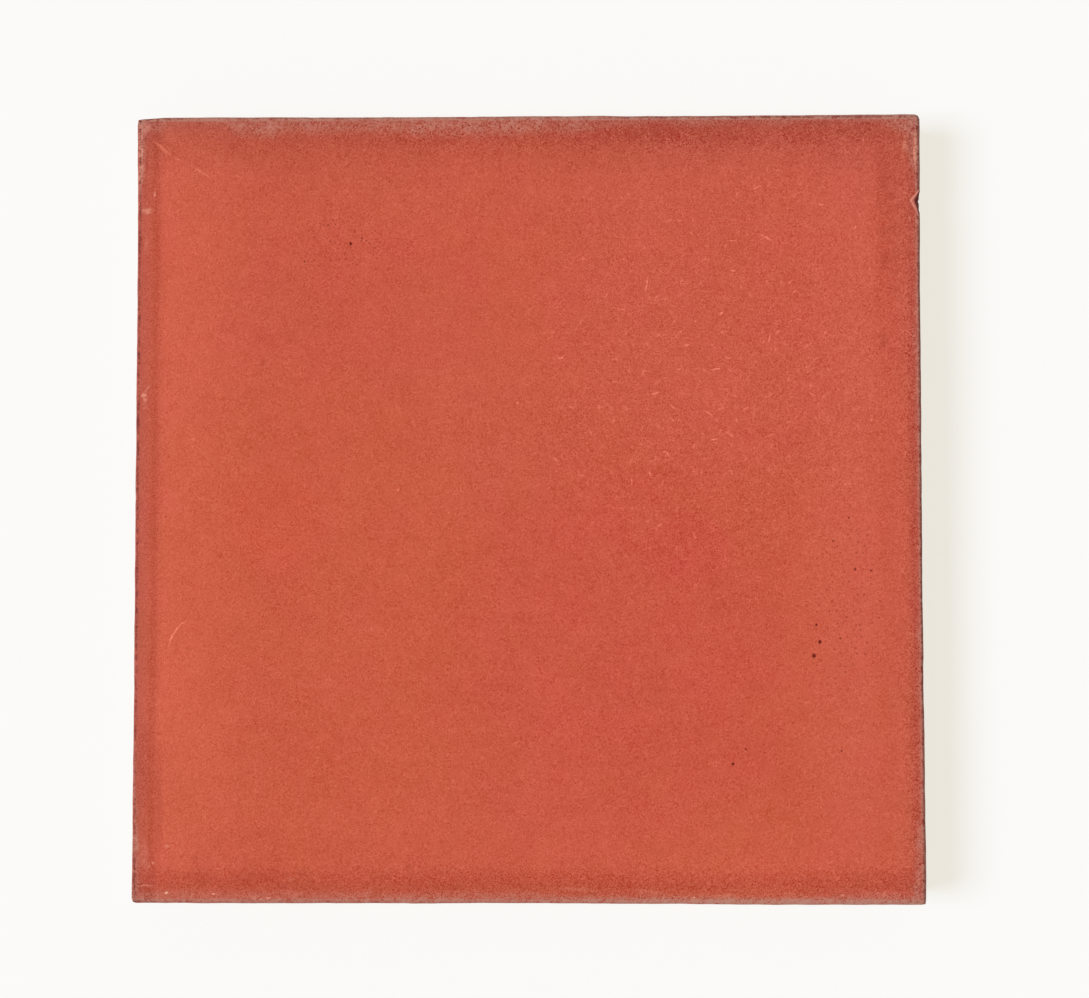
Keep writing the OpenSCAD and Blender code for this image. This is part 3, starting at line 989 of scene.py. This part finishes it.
def worn_rim_and_edge_shade(f, here, colour, line, patchy):
    """The broken pale rim of the face, faintest along the left, and the dark line along its edge, which is
    edge dirt and painted shade.
    """
    broken = here.total(patchy, mottle=0.6)
    rim = f.times(f.fade(here.from_edge, 1.4, 0.65), f.fade(broken, -2.0, 1.0, 0.05, 0.95))
    off_left = f.fade(here.from_left, 1.5, 2.5, 0.1, 0.7)
    at_front = f.times(f.fade(here.from_front, 2.5, 1.5), f.fade(here.x, -10, 50, 0.6, 1.0))
    at_rear = f.fade(here.from_rear, 2.5, 1.5)
    colour = f.blend(f.times(rim, f.most(off_left, at_front, at_rear)), colour, EDGE_PALE)
    # Dark line along the edge: edge dirt and painted shade
    return f.blend(f.times(line, f.fade(broken, 1.9, -1.5, 0.1, 1.0)), colour, EDGE_LINE_DIRT_AND_SHADE)


def small_marks(f, here, colour):
    """Bright specks, the old scratch and the dark smudges."""
    colour = f.blend(f.times(marked(f, here.pushed, BRIGHT_SPECKS), 0.9), colour, SPECK)
    scratch = marked(f, here.spot, SCRATCH)
    scratch = f.times(scratch, f.fade(f.plus(here.speckle, here.grain), -1.8, 1.2, 0.4, 0.85))
    colour = f.blend(scratch, colour, SCRAPE)
    return f.blend(f.times(marked(f, here.pushed, DARK_SMUDGES), 0.32), colour, PORE_SHADE_AND_SMUDGE)


def pore_and_pit_shade(f, here, colour):
    """Painted shade: dark spots of fine pores, dense in two ovals of the face, and the dark floors of the
    pits.
    """
    pored = f.most(*(here.oval(*oval) for oval in PORED))
    pores = f.times(random_pores(f, here.level, 1.5, 0.16, 2.2, 0.5), f.plus(pored, 0.05))
    # Painted shade in the pores
    colour = f.blend(f.times(pores, 0.55), colour, PORE_SHADE_AND_SMUDGE)
    pits = f.least(square_off(f, here.spot, (x, y, 0, r, r, 0, 0)) for x, y, r in PITS)
    # Painted shade on the pits' floors
    return f.blend(f.times(f.fade(pits, 1.3, 0.2), 0.8), colour, PIT_SHADE)


def dull_sides(f, here, colour, patchy):
    """Below the face's edge the red layer is dull and dirty."""
    dull = f.fade(f.math("MULTIPLY_ADD", here.small, 0.08, here.below_face), 0.4, 1.2)
    dirty = f.blend(f.fade(patchy, -1.5, 1.8), EDGE_DIRT, EDGE_RED)
    return f.blend(f.times(dull, 0.85), colour, dirty)


def mortar_body(f, here, colour):
    """Grey sandy mortar under the red layer, smeared with red here and there.

    Returns the colour, the share of mortar and the noise of the sand."""
    layer = here.total(here.below_face, middling=0.7, small=0.5, broad=0.5)
    sand = f.cloud(here.place, 0.9, 8, 2)
    mortar = f.blend(f.fade(sand, 0.1, 1.3), GREY_MORTAR, PALE_SAND)
    mortar = f.blend(f.fade(sand, -0.5, -1.6), mortar, DARK_SAND)
    mortar = f.shift(mortar, f.plus(here.broad, here.middling), MORTAR_STEP)
    body = f.fade(layer, *RED_LAYER)
    smeared = f.fade(here.total(here.middling, broad=0.8, small=0.3), 0.5, 1.3)
    smeared = f.times(smeared, f.fade(here.below_face, 15.5, 6), 0.45)
    mortar = f.blend(smeared, mortar, MORTAR_RED)
    return f.blend(body, colour, mortar), body, sand


def chip_faces(f, here, colour, flecked):
    """The chip's pale broken lip, fresh cement with a painted highlight, and its dark root, dirt and painted
    shade, down to where the chip ends on the side.
    """
    bite = chip_bite(f, here.y)
    from_chip = f.plus(here.from_right, CHIP_OUT)
    past_lip = f.math("SUBTRACT", here.total(bite, push_x=0.10, speckle=0.05), from_chip)
    past_root = f.math("MULTIPLY_ADD", here.push_x, 0.06, f.times(from_chip, -1.0))
    past_root = f.math("MULTIPLY_ADD", bite, CHIP_ROOT[0], past_root)
    in_chip = f.fade(here.below_face, CHIP_DROP + 0.3, CHIP_DROP - 0.4)
    lip = f.times(f.fade(past_lip, -0.2, 0.15), f.fade(past_lip, 0.85, 0.3, 0.3, 1.0), in_chip)
    lip = f.times(lip, f.fade(flecked, -2.0, 2.0, 0.6, 0.95))
    # Pale fresh lip with a painted highlight
    colour = f.blend(lip, colour, CHIP_FRESH_AND_HIGHLIGHT)
    # Painted shade, with some dirt, in the chip's dark root
    return f.blend(f.times(f.fade(past_root, -0.15, 0.15, 0.0, 0.92), in_chip), colour, CHIP_SHADE_AND_DIRT)


def matt_surface(f, here, colour, body, sand):
    """The matt shader: the face is finely rough, and the mortar is rougher, with a relief of sand."""
    rough = f.math("MULTIPLY_ADD", here.small, 0.03, f.math("MULTIPLY_ADD", body, 0.2, 0.72))
    face_relief = here.total(grain=0.003, speckle=0.004, small=0.005)
    sand_relief = f.plus(f.times(sand, 0.05), f.times(here.grain, 0.02))
    bump = f.tree.nodes.new("ShaderNodeBump")
    bump.inputs["Strength"].default_value = 1.0
    bump.inputs["Distance"].default_value = MM
    f.feed(bump.inputs["Height"], f.math("MULTIPLY_ADD", sand_relief, body, face_relief))
    shader = f.tree.nodes.new("ShaderNodeBsdfPrincipled")
    f.feed(shader.inputs["Base Color"], colour)
    f.feed(shader.inputs["Roughness"], rough)
    f.feed(shader.inputs["Normal"], bump.outputs[0])
    shader.inputs["Specular IOR Level"].default_value = 0.25
    return shader.outputs[0]


def tile_finish():
    """Red cement face with dusky edges, haze and flecks, over sandy grey mortar, with painted shade in a dark
    line along the edge, in the chip's root, the pits and the pores, and a painted highlight on the chip's lip.
    """
    f = Finish("pressed_cement")
    here = Ground(f)
    colour = pigment(f, here)
    haze, tide, line = edge_wear_and_shade(f, here)
    patchy = here.total(here.speckle, small=0.8, push_x=0.6, grain=0.5)
    colour = unevenness(f, here, colour, haze, tide)
    colour = dark_tides(f, here, colour, tide)
    flecked = here.total(patchy, grain=0.6, small=0.5, mottle=0.4)
    colour = pale_haze(f, here, colour, haze, flecked)
    colour = worn_rim_and_edge_shade(f, here, colour, line, patchy)
    colour = small_marks(f, here, colour)
    colour = pore_and_pit_shade(f, here, colour)
    colour = dull_sides(f, here, colour, patchy)
    colour, body, sand = mortar_body(f, here, colour)
    colour = chip_faces(f, here, colour, flecked)
    colour = f.shift(colour, 1.0, SHEEN_LOSS)
    return f.end(matt_surface(f, here, colour, body, sand))


# How far the floor reaches from its middle in metres, and the shares of its paleness that are lit, in each
# colour. The rest glows
FLOOR_REACH = 3.0
FLOOR_LIT = np.array((0.185, 0.225, 0.31, 0))

# The share of the light that comes from all round. Then three angles: the lamp's height over the floor, its
# turn about the tile, and how wide it is seen from there
SURROUND = 0.3
LAMP_HEIGHT = radians(46)
LAMP_TURN = radians(4)
LAMP_WIDE = radians(26)

# The camera's place in metres, its turn about each axis in degrees, and its lens and film in millimetres
CAMERA_PLACE = (0.00905, -0.01799, 0.4762)
CAMERA_TURN = (2.461, 0.604, -0.04)
LENS = 60
FILM_WIDE = 36


def floor_finish():
    """A pale floor that keeps a soft share of the tile's shadow."""
    f = Finish("studio_floor")
    pale = np.array(PALE_FLOOR)
    lit = f.add("BsdfDiffuse", tuple(pale * FLOOR_LIT + (0, 0, 0, 1)))
    glow = f.add("Emission", tuple(pale * (1 - FLOOR_LIT)), 1.0)
    seen = f.tree.nodes.new("ShaderNodeLightPath").outputs["Is Camera Ray"]
    shown = f.add("AddShader", lit, glow)
    plain = f.add("BsdfDiffuse", tuple(pale))
    return f.end(f.add("MixShader", seen, plain, shown))


def build_floor():
    """A flat square at height 0, with its middle under the tile's."""
    corners = FLOOR_REACH * np.array([(-1, -1, 0), (1, -1, 0), (1, 1, 0), (-1, 1, 0)])
    mesh = bpy.data.meshes.new("floor")
    mesh.from_pydata(corners.tolist(), [], [(0, 1, 2, 3)])
    floor = bpy.data.objects.new("floor", mesh)
    bpy.context.scene.collection.objects.link(floor)
    floor.data.materials.append(floor_finish())


def light_studio():
    """An even pale surround, seen as pale as the floor, and one broad soft lamp from the left."""
    world = bpy.data.worlds.new("studio")
    bpy.context.scene.world = world
    world.use_nodes = True
    tree = world.node_tree
    around = tree.nodes["Background"]
    around.inputs["Color"].default_value = (1, 1, 1, 1)
    around.inputs["Strength"].default_value = SURROUND
    behind = tree.nodes.new("ShaderNodeBackground")
    behind.inputs["Color"].default_value = PALE_FLOOR
    seen = tree.nodes.new("ShaderNodeLightPath").outputs["Is Camera Ray"]
    either = tree.nodes.new("ShaderNodeMixShader")
    for socket, source in zip(either.inputs, (seen, around.outputs[0], behind.outputs[0])):
        tree.links.new(source, socket)
    tree.links.new(either.outputs[0], tree.nodes["World Output"].inputs["Surface"])
    lamp = bpy.data.lights.new("soft_lamp", "SUN")
    lamp.angle = LAMP_WIDE
    lamp.energy = (1 - SURROUND) * pi / np.sin(LAMP_HEIGHT)
    holder = bpy.data.objects.new("soft_lamp", lamp)
    holder.rotation_euler = (0, -(pi / 2 - LAMP_HEIGHT), LAMP_TURN)
    bpy.context.scene.collection.objects.link(holder)


def place_camera():
    """Looks almost straight down, from a little in front and to the right of the middle."""
    camera = bpy.data.cameras.new("camera")
    camera.lens = LENS
    camera.sensor_width = FILM_WIDE
    holder = bpy.data.objects.new("camera", camera)
    holder.location = CAMERA_PLACE
    holder.rotation_euler = [radians(turn) for turn in CAMERA_TURN]
    bpy.context.scene.collection.objects.link(holder)
    bpy.context.scene.camera = holder


tile = build_tile()
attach(tile, BODY)
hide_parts(NODE)
tile.data.materials.append(tile_finish())
build_floor()
light_studio()
place_camera()
bpy.context.scene.view_settings.view_transform = "Standard"
